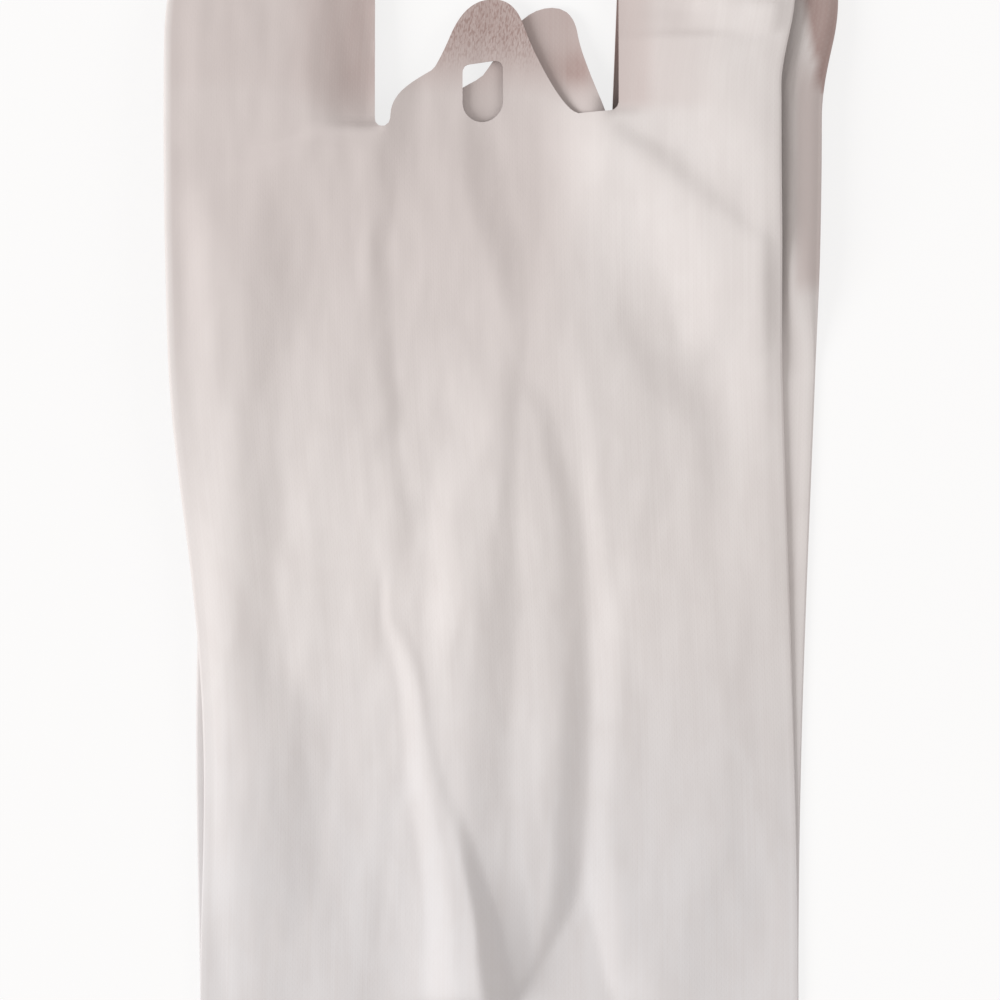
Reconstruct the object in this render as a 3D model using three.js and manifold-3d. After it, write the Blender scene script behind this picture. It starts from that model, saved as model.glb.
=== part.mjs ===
// Carrier bag of white spunbond non-woven fabric, empty, lying on its back panel.
// One sheet forms the back panel, two side gussets and the front panel. It is welded across the
// bottom and across the top of each handle strap, and die-cut at the mouth into two straps and a
// hang tab on each panel. X runs across the bag, Y up the bag to the handles, Z up from the floor.
import * as THREE from 'three';
import Manifold3d from 'manifold-3d';

const kernel = await Manifold3d();
kernel.setup();

// Driving dimensions, in millimetres
const BAG_WIDTH = 300;
const BODY_HEIGHT = 450;
const HANDLE_LENGTH = 150;
const GUSSET_DEPTH = 70;
const GUSSET_EASE = 24;
const FABRIC = 0.4;
const MOUTH_WIDTH = 120;
const TAB_HEIGHT = 60;
const TAB_BASE = 0.8 * MOUTH_WIDTH;
const TAB_TOP = 0.3 * MOUTH_WIDTH;
const HOLE_WIDTH = 20;
const HOLE_HEIGHT = 30;
const HOLE_RISE = 14;
const SEAL_WIDTH = 6;
const PUFF = 11;
const SAG = 12;
const LEFT_LIFT = 20;
const RIGHT_LIFT = 24;
const FOLD_BULGE = 2.2;

// How the two panels lie against each other
const FRONT_SLIP = -10;
const LEFT_ROLL = -2;
const BACK_SLIP = 11;
const LEFT_WAIST = 9;
const FOOT_IN = 4.5;
const STRAP_FLARE = 11;
const LEFT_DROP = 7;
const RIGHT_DROP = 4;
const TUCK_LEVEL = 56;
const TUCK_RISE = 2.2;
const TUCK_ABOVE = 20;
const TUCK_BELOW = 15;
const TAB_DROP = 4;

// Cut of each panel: tab off the middle, lean of its top and slide of the cut in shares of the mouth's
// width, drop of the cut, how square the tab's right foot runs out, and corner of the right notch
const MOUTH_TILT = 8;
const FRONT_CUT = { shift: -0.058, lean: 0.042, slide: 0.008, drop: 0, foot: 0.84, corner: 5 };
const BACK_CUT = { shift: 0.1, lean: 0.125, slide: -0.029, drop: 5, foot: 1, corner: 2 };

const TOP = BODY_HEIGHT + HANDLE_LENGTH;
const HALF = BAG_WIDTH / 2;
const PITCH = 2 * FABRIC;
const FLOOR_LAYER = FABRIC / 2;
const STACK = FLOOR_LAYER + 3 * PITCH;
const LIP = 0.75 * FABRIC;
const MOUTH_CORNER = 5;
const FOLD_REACH = 0.53 * HALF;

// Soft folds of the front panel. Each is a band of slope that runs down the panel: how far across in
// shares of half the width, how far up in shares of the body height, half the band's width in shares of
// half the width, and the slope in degrees, positive where the fabric rises to the right.
const FOLDS = {
  leftEdge: [
    [-0.95, 0.71, 0.06, 0], [-0.86, 0, 0.04, 10],
  ],
  leftFall: [
    [-0.7, 0.94, 0.11, 0], [-0.72, 0.8, 0.11, -12], [-0.77, 0.66, 0.09, -10], [-0.76, 0.57, 0.08, -15],
    [-0.77, 0.41, 0.08, -16], [-0.64, 0.27, 0.11, -12], [-0.75, 0.13, 0.13, -8], [-0.75, 0.03, 0.09, -12],
    [-0.74, 0, 0.08, -10],
  ],
  leftRise: [
    [-0.54, 0.87, 0.11, 0], [-0.62, 0.52, 0.12, 5], [-0.62, 0.44, 0.08, 3], [-0.51, 0.38, 0.07, 4],
    [-0.37, 0.22, 0.12, 4], [-0.37, 0.09, 0.08, 0],
  ],
  leftCrease: [
    [-0.34, 1.02, 0.05, 0], [-0.37, 0.93, 0.06, -12], [-0.38, 0.78, 0.04, -14], [-0.33, 0.68, 0.04, -16],
    [-0.35, 0.64, 0.05, -10], [-0.32, 0.61, 0.04, -5], [-0.28, 0.57, 0.04, -13], [-0.31, 0.47, 0.03, 0],
  ],
  tabFall: [
    [-0.07, 1.14, 0.05, 0], [-0.06, 1, 0.06, -7], [-0.04, 0.95, 0.09, -11], [0.03, 0.86, 0.07, -18],
    [0.08, 0.77, 0.05, -7], [0.05, 0.66, 0.03, -14], [0.02, 0.52, 0.08, -10], [0, 0.45, 0.08, -17],
    [-0.03, 0.2, 0.05, 0],
  ],
  upperLobes: [
    [-0.15, 0.78, 0.03, 0], [-0.08, 0.66, 0.08, 12], [-0.18, 0.56, 0.06, 18], [-0.18, 0.45, 0.07, 20],
    [-0.19, 0.41, 0.05, 12], [-0.14, 0.28, 0.04, 0],
  ],
  mainRidge: [
    [-0.36, 0.53, 0.03, 0], [-0.33, 0.44, 0.04, 18], [-0.19, 0.17, 0.08, 23], [-0.13, 0, 0.09, 18],
  ],
  mainFall: [
    [-0.14, 0.28, 0.03, 0], [-0.07, 0.19, 0.06, -31], [0, 0.09, 0.07, -40], [0.07, 0, 0.11, -30],
  ],
  middleRise: [
    [0.06, 0.68, 0.03, 0], [0.12, 0.54, 0.06, 6], [0.11, 0.15, 0.05, 6], [0.08, 0.07, 0.03, 0],
  ],
  rightFall: [
    [0.09, 0.73, 0.05, 0], [0.16, 0.68, 0.04, -12], [0.25, 0.54, 0.06, -17], [0.27, 0.41, 0.07, -17],
    [0.21, 0.13, 0.08, -29], [0.2, 0.07, 0.08, -30], [0.15, 0, 0.08, -22],
  ],
  rightRise: [
    [0.21, 0.79, 0.04, 0], [0.31, 0.61, 0.04, 16], [0.36, 0.43, 0.06, 18], [0.34, 0.26, 0.05, 16],
    [0.34, 0.09, 0.08, 23], [0.34, 0, 0.09, 18],
  ],
  centreFacet: [
    [0.24, 1.05, 0.08, 0], [0.27, 0.98, 0.10, 13], [0.29, 0.94, 0.11, 12], [0.25, 0.85, 0.04, 0],
  ],
  rightFacet: [
    [0.47, 0.97, 0.11, 0], [0.64, 0.82, 0.12, 18], [0.66, 0.77, 0.08, 17], [0.66, 0.73, 0.03, 0],
  ],
  facetFall: [
    [0.31, 0.85, 0.05, 0], [0.47, 0.75, 0.10, -10], [0.67, 0.67, 0.09, -9], [0.74, 0.55, 0.06, 0],
  ],
  shoulderFall: [
    [0.33, 1.03, 0.03, 0], [0.36, 1.01, 0.03, -5], [0.48, 0.97, 0.08, -12], [0.9, 0.86, 0.03, -6],
    [0.95, 0.85, 0.03, 0],
  ],
  rightStrap: [
    [0.64, 1.11, 0.15, 4], [0.64, 1.04, 0.15, 6], [0.69, 1, 0.15, 6], [0.79, 0.94, 0.12, 5],
    [0.91, 0.84, 0.04, 0],
  ],
  leftShoulder: [
    [-0.53, 1.02, 0.03, 0], [-0.62, 0.98, 0.04, 8], [-0.9, 0.93, 0.08, 4], [-0.98, 0.9, 0.06, 3],
    [-1.03, 0.87, 0.05, 0],
  ],
};

const clamp01 = (t) => Math.min(1, Math.max(0, t));
const ramp = (from, to, y) => {
  const t = clamp01((y - from) / (to - from));
  return t * t * (3 - 2 * t);
};
const mix = (a, b, t) => a + (b - a) * t;

// How far the layers have opened at a level: shut at the welds, widest at the mouth
const handleFall = (y) => 1 - ramp(BODY_HEIGHT, TOP - SEAL_WIDTH, y);
const opened = (y) => {
  const t = clamp01((y - SEAL_WIDTH) / (BODY_HEIGHT - SEAL_WIDTH));
  return (1 - (1 - t) ** 3) * handleFall(y);
};
const rightOpened = (y) => {
  const low = 0.12 * ramp(0.12 * BODY_HEIGHT, 0.6 * BODY_HEIGHT, y);
  return (low + 0.88 * ramp(0.7 * BODY_HEIGHT, 0.9 * BODY_HEIGHT, y)) * handleFall(y);
};
const swell = (t) => Math.sin(Math.PI * clamp01(t)) ** 2;

// Left and right folds of the front panel, then of the back panel
function edgesAt(y) {
  const slip = ramp(0, BODY_HEIGHT, y) * (1 - ramp(BODY_HEIGHT + HANDLE_LENGTH / 4, TOP - SEAL_WIDTH, y));
  const left = FOOT_IN * (1 - ramp(0, 0.45 * BODY_HEIGHT, y)) - HALF;
  const front = FRONT_SLIP * slip;
  const back = BACK_SLIP * slip ** 1.35;
  const waist = LEFT_WAIST * swell(y / (0.75 * BODY_HEIGHT)) + LEFT_ROLL * slip;
  const flare = STRAP_FLARE * swell((y - BODY_HEIGHT) / HANDLE_LENGTH);
  return [left + front + waist, HALF + front, left + back, HALF + back + flare];
}

// Place, reach and slope of a band at a level
function bandAt(nodes, y) {
  const up = y / BODY_HEIGHT;
  let next = nodes.findIndex((node) => node[1] <= up);
  if (next < 0) next = nodes.length - 1;
  const below = nodes[next];
  const above = nodes[Math.max(next - 1, 0)];
  const t = above === below ? 0 : clamp01((up - below[1]) / (above[1] - below[1]));
  return [0, 2, 3].map((k) => mix(below[k], above[k], t));
}

// Height that the folds add to the front panel; each dies away to both sides
function foldRise(x, y) {
  let total = 0;
  for (const nodes of Object.values(FOLDS)) {
    const [across, share, slope] = bandAt(nodes, y);
    const reach = share * HALF;
    const off = x - across * HALF;
    const near = (1 - clamp01(Math.abs(off) / FOLD_REACH) ** 2) ** 2;
    const step = ramp(-reach, reach, off) - 0.5;
    total += Math.tan(THREE.MathUtils.degToRad(slope)) * reach * 4 / 3 * step * near;
  }
  return total;
}

// Inner margins of the straps lie under the mouth edge, the right strap has a tuck across it, and the
// tab bends down
function strapShape(x, y) {
  const side = MOUTH_WIDTH / 2;
  const strap = HALF - side;
  const up = y - BODY_HEIGHT;
  const onStrap = (away) => ramp(side - 0.07 * strap, side - 0.01 * strap, away);
  const left = onStrap(-x) * ramp(side + 0.36 * strap, side, -x) * ramp(-0.1 * TAB_HEIGHT, 0, up);
  const right = onStrap(x) * ramp(side + 0.25 * strap, side, x) * ramp(0, 0.12 * TAB_HEIGHT, up);
  const off = up - TUCK_LEVEL;
  const tuckEnd = Math.max(off / TUCK_ABOVE, -off / TUCK_BELOW);
  const tuck = clamp01(1 - tuckEnd) * ramp(side + 0.4 * strap, side + 0.5 * strap, x);
  const bend = clamp01(up / TAB_HEIGHT) ** 2 * (1 - onStrap(Math.abs(x)));
  return (TUCK_RISE * tuck - LEFT_DROP * left - RIGHT_DROP * right - TAB_DROP * bend) * handleFall(y);
}

// Height of the front panel's middle surface, share s of the way from its left fold to its right
function frontHeight(s, x, y) {
  const inner = Math.min(s, 1 - s) * BAG_WIDTH;
  const overGusset = 1 - ramp(GUSSET_DEPTH, GUSSET_DEPTH + GUSSET_EASE, inner);
  const thin = 2 * PITCH * (1 - overGusset) * (1 - ramp(SEAL_WIDTH, 8 * SEAL_WIDTH, y));
  const slack = ramp(0.45 * BODY_HEIGHT, 0.8 * BODY_HEIGHT, y);
  const left = LEFT_LIFT * opened(y) * mix(0.5, 1, slack);
  const right = RIGHT_LIFT * rightOpened(y);
  const crown = PUFF * opened(y) * (1 - Math.abs(2 * s - 1) ** (s < 0.5 ? 2.4 : 1.4));
  const middle = SAG * opened(y);
  const sagging = s < 0.6 ? mix(left, middle, ramp(0.05, 0.6, s)) : mix(middle, right, ramp(0.6, 1, s));
  const inset = ramp(0, 0.03, s) * ramp(0, 0.03, 1 - s) * ramp(SEAL_WIDTH, 3 * SEAL_WIDTH, y);
  const folds = foldRise(x, y) * inset * (1 - ramp(BODY_HEIGHT + HANDLE_LENGTH / 3, TOP - SEAL_WIDTH, y));
  const rise = mix(mix(left, right, s) + crown, sagging, slack) + folds + strapShape(x, y);
  const ends = ramp(SEAL_WIDTH, 4 * SEAL_WIDTH, y) * ramp(TOP - SEAL_WIDTH, TOP - 4 * SEAL_WIDTH, y);
  const ease = 2 * FABRIC * ends;
  return STACK - thin + (rise + Math.hypot(rise, ease)) / 2;
}

// Half circle between two stacked layers, from the upper one to the lower one
function turn(x, zUpper, zLower, outward) {
  const r = (zUpper - zLower) / 2;
  const middle = (zUpper + zLower) / 2;
  return [[x, zUpper], [x + outward * r, middle], [x, zLower]];
}

// Layers of one gusset at a level, from the front fold round to the back fold
function gusset(y, out, xFront, xBack, zFront) {
  const open = opened(y);
  const frontTurn = PITCH + FOLD_BULGE * open;
  const innerTurn = PITCH + 0.8 * FOLD_BULGE * open;
  const backTurn = PITCH + 0.6 * FOLD_BULGE * open;
  const zRear = FLOOR_LAYER + backTurn;
  const xInner = (xFront + xBack) / 2 - out * GUSSET_DEPTH;
  const front = turn(xFront - out * frontTurn / 2, zFront, zFront - frontTurn, out);
  const inner = turn(xInner + out * innerTurn / 2, zRear + innerTurn, zRear, -out);
  const back = turn(xBack - out * backTurn / 2, zRear, FLOOR_LAYER, out);
  const halfway = (p, q) => [(p[0] + q[0]) / 2, (p[1] + q[1]) / 2];
  return [...front, halfway(front[2], inner[0]), ...inner, halfway(inner[2], back[0]), ...back];
}

// Closed loop of the fabric's middle surface at a level, as [x, z] points
const FRONT_STEPS = 38;
function section(y) {
  const [frontLeft, frontRight, backLeft, backRight] = edgesAt(y);
  const right = gusset(y, 1, frontRight, backRight, frontHeight(1, frontRight, y));
  const left = gusset(y, -1, frontLeft, backLeft, frontHeight(0, frontLeft, y)).reverse();
  const start = left[left.length - 1][0];
  const span = right[0][0] - start;
  const front = [];
  for (let i = 1; i < FRONT_STEPS; i += 1) {
    const x = start + span * i / FRONT_STEPS;
    front.push([x, frontHeight(i / FRONT_STEPS, x, y)]);
  }
  return [...left, ...front, ...right];
}

// Levels up the bag, closer together at the welds and at the mouth
function levels() {
  const first = 1.25 * SEAL_WIDTH;
  const list = [0, first];
  const low = BODY_HEIGHT - 0.27 * TAB_HEIGHT;
  const high = BODY_HEIGHT + 0.33 * TAB_HEIGHT;
  const bodySteps = 24;
  const handleSteps = 8;
  for (let i = 1; i <= bodySteps; i += 1) list.push(mix(first, low, i / bodySteps));
  for (const share of [-0.12, -0.02, 0.07, 0.18]) list.push(BODY_HEIGHT + share * TAB_HEIGHT);
  list.push(high);
  for (let i = 1; i <= handleSteps; i += 1) list.push(mix(high, TOP - first, i / handleSteps));
  list.push(TOP);
  return list;
}

// Thin-walled tube: the loop at every level, given the fabric's thickness both ways
function tube() {
  const ys = levels();
  const rows = ys.map((y) => section(y).map(([x, z]) => new THREE.Vector3(x, y, z)));
  const count = rows[0].length;
  const outer = [];
  const inner = [];
  for (let j = 0; j < rows.length; j += 1) {
    for (let i = 0; i < count; i += 1) {
      const p = rows[j][i];
      const round = new THREE.Vector3();
      for (const [from, to] of [[i + count - 1, i], [i, i + 1]]) {
        const piece = rows[j][to % count].clone().sub(rows[j][from % count]);
        round.add(piece.normalize());
      }
      const up = rows[Math.min(j + 1, rows.length - 1)][i].clone();
      up.sub(rows[Math.max(j - 1, 0)][i]);
      const normal = round.cross(up).normalize().multiplyScalar(FABRIC / 2);
      if (j === 0 || j === rows.length - 1) normal.y = 0;
      outer.push(p.clone().add(normal));
      inner.push(p.clone().sub(normal));
    }
  }
  const total = outer.length;
  const position = [...outer, ...inner].flatMap((p) => [p.x, p.y, p.z]);
  const index = [];
  const quad = (a, b, c, d) => index.push(a, b, c, a, c, d);
  for (let i = 0; i < count; i += 1) {
    const n = (i + 1) % count;
    for (let j = 0; j + 1 < rows.length; j += 1) {
      const a = j * count + i;
      const b = j * count + n;
      const c = (j + 1) * count + n;
      const d = (j + 1) * count + i;
      quad(a, b, c, d);
      quad(total + a, total + d, total + c, total + b);
    }
    const end = (rows.length - 1) * count;
    quad(i, total + i, total + n, n);
    quad(end + i, end + n, total + end + n, total + end + i);
  }
  return solid(new Float32Array(position), new Uint32Array(index));
}

function solid(vertProperties, triVerts) {
  const mesh = new kernel.Mesh({ numProp: 3, vertProperties, triVerts });
  mesh.merge();
  return new kernel.Manifold(mesh);
}

function fromGeometry(geometry) {
  const position = geometry.getAttribute('position');
  const flat = geometry.index ? geometry.index.array : [...Array(position.count).keys()];
  return solid(new Float32Array(position.array), new Uint32Array(flat));
}

// Prism of an outline, standing between two heights
function prism(shape, low, high, segments) {
  const options = { depth: high - low, bevelEnabled: false, curveSegments: segments };
  const geometry = new THREE.ExtrudeGeometry(shape, options);
  return fromGeometry(geometry.translate(0, 0, low));
}

// Place at height h above a panel's mouth line; the tab leans as it rises
function tabPoint(cut, x, h) {
  const lean = cut.lean * MOUTH_WIDTH * clamp01(h / TAB_HEIGHT);
  return [x + lean, BODY_HEIGHT - cut.drop + MOUTH_TILT * x / MOUTH_WIDTH + h];
}

// Outline cut away above the mouth line, leaving a strap at each side and the tab between them
function mouthCut(cut) {
  const half = TAB_BASE / 2;
  const flank = TAB_TOP / 2;
  const axis = cut.shift * MOUTH_WIDTH;
  const on = (x, share) => tabPoint(cut, axis + x, share * TAB_HEIGHT);
  const leftEdge = (cut.slide - 0.5) * MOUTH_WIDTH;
  const rightEdge = (cut.slide + 0.5) * MOUTH_WIDTH;
  const lowLeft = tabPoint(cut, leftEdge, 0)[1];
  const lowRight = tabPoint(cut, rightEdge, 0)[1];
  const shape = new THREE.Shape();
  shape.moveTo(leftEdge, TOP + SEAL_WIDTH);
  shape.lineTo(leftEdge, lowLeft + MOUTH_CORNER);
  const [foot, level] = on(-0.92 * half, 0);
  shape.quadraticCurveTo(leftEdge, lowLeft, (leftEdge + foot) / 2, lowLeft);
  shape.quadraticCurveTo(foot, lowLeft, foot, level + MOUTH_CORNER);
  shape.bezierCurveTo(...on(-0.94 * half, 0.27), ...on(-0.73 * half, 0.36), ...on(-0.53 * half, 0.445));
  shape.quadraticCurveTo(...on(-0.455 * half, 0.55), ...on(-flank, 0.74));
  shape.bezierCurveTo(...on(-0.8 * flank, 0.9), ...on(-0.5 * flank, 1), ...on(0, 1));
  shape.bezierCurveTo(...on(0.5 * flank, 1), ...on(0.8 * flank, 0.9), ...on(flank, 0.74));
  const floor = rightEdge - cut.corner;
  const rightFoot = Math.min(axis + half, floor);
  const runOut = on(cut.foot * (rightFoot - axis), 0.04);
  shape.bezierCurveTo(...on(0.52 * half, 0.48), ...runOut, ...tabPoint(cut, rightFoot, 0));
  if (rightFoot < floor) shape.lineTo(...tabPoint(cut, floor, 0));
  shape.quadraticCurveTo(rightEdge, lowRight, rightEdge, lowRight + cut.corner);
  shape.lineTo(rightEdge, TOP + SEAL_WIDTH);
  shape.closePath();
  return shape;
}

// Hang hole on a tab's leaning middle: a round foot under a nearly flat top
function hangHole(cut) {
  const r = HOLE_WIDTH / 2;
  const low = HOLE_RISE - HOLE_HEIGHT / 2;
  const easy = 0.45 * r;
  const upright = { ...cut, lean: 0 };
  const axis = (cut.shift + cut.lean * HOLE_RISE / TAB_HEIGHT) * MOUTH_WIDTH;
  const on = (x, h) => new THREE.Vector2(...tabPoint(upright, axis + x, low + h));
  const rim = [];
  const steps = 12;
  for (let i = 0; i <= steps; i += 1) {
    const turned = Math.PI * (i / steps - 1);
    rim.push(on(r * Math.cos(turned), r + r * Math.sin(turned)));
  }
  rim.push(on(r, HOLE_HEIGHT - easy), on(0.87 * r, HOLE_HEIGHT - 0.13 * r), on(r - easy, HOLE_HEIGHT));
  rim.push(on(easy - r, HOLE_HEIGHT - 0.1 * r), on(-0.87 * r, HOLE_HEIGHT - 0.2 * r));
  rim.push(on(-r, HOLE_HEIGHT - easy));
  return new THREE.Shape(rim);
}

// Weld that fills the layers across the bottom, thinner where no gusset lies between the panels
function bottomWeld() {
  const [left, right] = edgesAt(0);
  const fold = GUSSET_DEPTH;
  const low = STACK - 2 * PITCH;
  const shape = new THREE.Shape();
  shape.moveTo(left + PITCH / 2, FLOOR_LAYER);
  shape.lineTo(right - PITCH / 2, FLOOR_LAYER);
  shape.lineTo(right - PITCH / 2, STACK);
  shape.lineTo(right - fold, STACK);
  shape.lineTo(right - fold - GUSSET_EASE, low);
  shape.lineTo(left + fold + GUSSET_EASE, low);
  shape.lineTo(left + fold, STACK);
  shape.lineTo(left + PITCH / 2, STACK);
  shape.closePath();
  const geometry = new THREE.ExtrudeGeometry(shape, { depth: SEAL_WIDTH + LIP, bevelEnabled: false });
  geometry.rotateX(Math.PI / 2);
  return fromGeometry(geometry.translate(0, SEAL_WIDTH, 0));
}

// Weld that fills the layers across the top of one handle strap
function handleWeld(side) {
  const outerEdge = HALF - PITCH / 2;
  const slide = Math.max(side * FRONT_CUT.slide, side * BACK_CUT.slide);
  const innerEdge = (0.5 + slide) * MOUTH_WIDTH + LIP;
  const box = new THREE.BoxGeometry(outerEdge - innerEdge, SEAL_WIDTH + LIP, STACK - FLOOR_LAYER);
  const x = side * (outerEdge + innerEdge) / 2;
  const y = TOP - SEAL_WIDTH + (SEAL_WIDTH + LIP) / 2;
  return fromGeometry(box.translate(x, y, (STACK + FLOOR_LAYER) / 2));
}

const SPLIT = FABRIC + 0.5 * PITCH;
const SKY = STACK + PUFF + SAG + LEFT_LIFT + RIGHT_LIFT;
let bag = tube();
bag = bag.subtract(prism(mouthCut(FRONT_CUT), SPLIT, SKY, 7));
bag = bag.subtract(prism(hangHole(FRONT_CUT), SPLIT, SKY, 1));
bag = bag.subtract(prism(mouthCut(BACK_CUT), -SKY, SPLIT, 7));
bag = bag.subtract(prism(hangHole(BACK_CUT), -SKY, SPLIT, 1));
bag = bag.add(bottomWeld());
bag = bag.add(handleWeld(-1));
bag = bag.add(handleWeld(1));

const result = bag.getMesh();
const geometry = new THREE.BufferGeometry();
const stride = result.numProp;
const corners = [];
for (let i = 0; i < result.vertProperties.length; i += stride) {
  corners.push(result.vertProperties[i], result.vertProperties[i + 1], result.vertProperties[i + 2]);
}
geometry.setAttribute('position', new THREE.Float32BufferAttribute(corners, 3));
geometry.setIndex([...result.triVerts]);

// Origin at the middle of the bag's outline, on the floor
geometry.computeBoundingBox();
const middle = geometry.boundingBox.getCenter(new THREE.Vector3());
geometry.translate(-middle.x, -middle.y, -geometry.boundingBox.min.z);
geometry.computeVertexNormals();

const fabric = new THREE.MeshStandardMaterial({ color: 0xe3dcd9, roughness: 0.85, metalness: 0 });
fabric.name = 'nonwoven';
const mesh = new THREE.Mesh(geometry, fabric);
mesh.name = 'bag';
const group = new THREE.Group();
group.name = 'nonwoven_shopping_bag';
group.add(mesh);
export default group;
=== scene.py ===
"""Dressed model of an empty non-woven carrier bag that lies on its back panel.

The bag is one folded sheet: back panel, two side gussets and front panel, welded across the bottom
and the handle tops and die-cut at the mouth. Lengths are in metres, +Y runs up the bag.
"""

from typing import NamedTuple

import bmesh
import bpy
import numpy as np
from bpy.props import FloatProperty, FloatVectorProperty, PointerProperty
from bpy.types import Operator, Panel, PropertyGroup
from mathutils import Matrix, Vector, noise


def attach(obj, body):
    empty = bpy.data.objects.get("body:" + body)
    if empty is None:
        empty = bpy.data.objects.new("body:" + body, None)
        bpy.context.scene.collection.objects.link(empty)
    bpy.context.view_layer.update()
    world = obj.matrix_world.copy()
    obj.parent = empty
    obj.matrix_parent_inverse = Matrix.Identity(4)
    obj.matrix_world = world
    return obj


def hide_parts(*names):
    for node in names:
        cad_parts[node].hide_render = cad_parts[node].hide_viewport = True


bl_info = {
    "name": "Non-woven Carrier Bag",
    "version": (1, 0, 0),
    "blender": (4, 5, 0),
    "location": "View3D > Sidebar > Bag",
    "description": "Builds an empty folded carrier bag of spunbond fabric and its studio",
    "category": "Object",
}

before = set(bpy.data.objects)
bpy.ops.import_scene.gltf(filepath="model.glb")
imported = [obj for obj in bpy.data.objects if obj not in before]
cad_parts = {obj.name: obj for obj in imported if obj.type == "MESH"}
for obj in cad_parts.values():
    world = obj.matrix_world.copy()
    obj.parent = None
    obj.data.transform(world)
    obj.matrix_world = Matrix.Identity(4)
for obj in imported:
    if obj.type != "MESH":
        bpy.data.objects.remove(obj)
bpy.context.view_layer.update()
MM = 0.001

# The fabric's grid: rows up the bag, closer together about the mouth, and columns across the panels
MOUTH_ROW_STEP, ROWS_BELOW_MOUTH, ROWS_ABOVE_MOUTH = 2 * MM, 16 * MM, 66 * MM
BODY_ROWS, HANDLE_ROWS = 132, 26
FRONT_COLUMNS, BACK_STRAP_COLUMNS, BACK_MIDDLE_COLUMNS = 150, 6, 34
FRONT_CLOSE_AT, FRONT_CLOSE_REACH, FRONT_CLOSER = 0.48, 0.17, 0.9
REAR_SHARES = (0.3, 0.6, 0.74, 0.8, 0.84, 0.88, 0.92, 0.96)
# How near a point is drawn on to the die's outline, how far the die reaches past the handle tops,
# and how near points are joined
DRAW_ON, DIE_PAST, JOIN = 0.62 * MM, 20 * MM, 0.02 * MM
UNCUT = 5 * MM

# The studio: the floor and the view, from above the bag
FLOOR_HALF, FLOOR_BELOW = 4.0, 0.6 * MM
SENSOR, VIEW_HEIGHT, LENS_DISTANCE, VIEW_SPAN = 36, 2.02, 2.0, 0.49
VIEW_RIGHT, VIEW_UP = 2.6 * MM, -37.4 * MM
LIGHTS_AIM = (0, -0.03, 0)
SKY, SKY_STRENGTH = (1.0, 0.935, 0.9, 1), 0.5
WHITE, FLOOR_WHITE = (1, 1, 1, 1), 0.8
LIGHTS = (
    ("key", 5.44, 800, (-8.32, -1.5, 5.44)),
    ("fill", 3.0, 66, (4.4, 1.6, 3.2)),
)

# Soft wrinkles: height, size across and up, and where in the noise each kind is taken
WRINKLES = ((0.6 * MM, 0.021, 0.052, 3.1), (0.26 * MM, 0.0085, 0.024, 7.7), (0.08 * MM, 0.0042, 0.014, 1.9))

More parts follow.
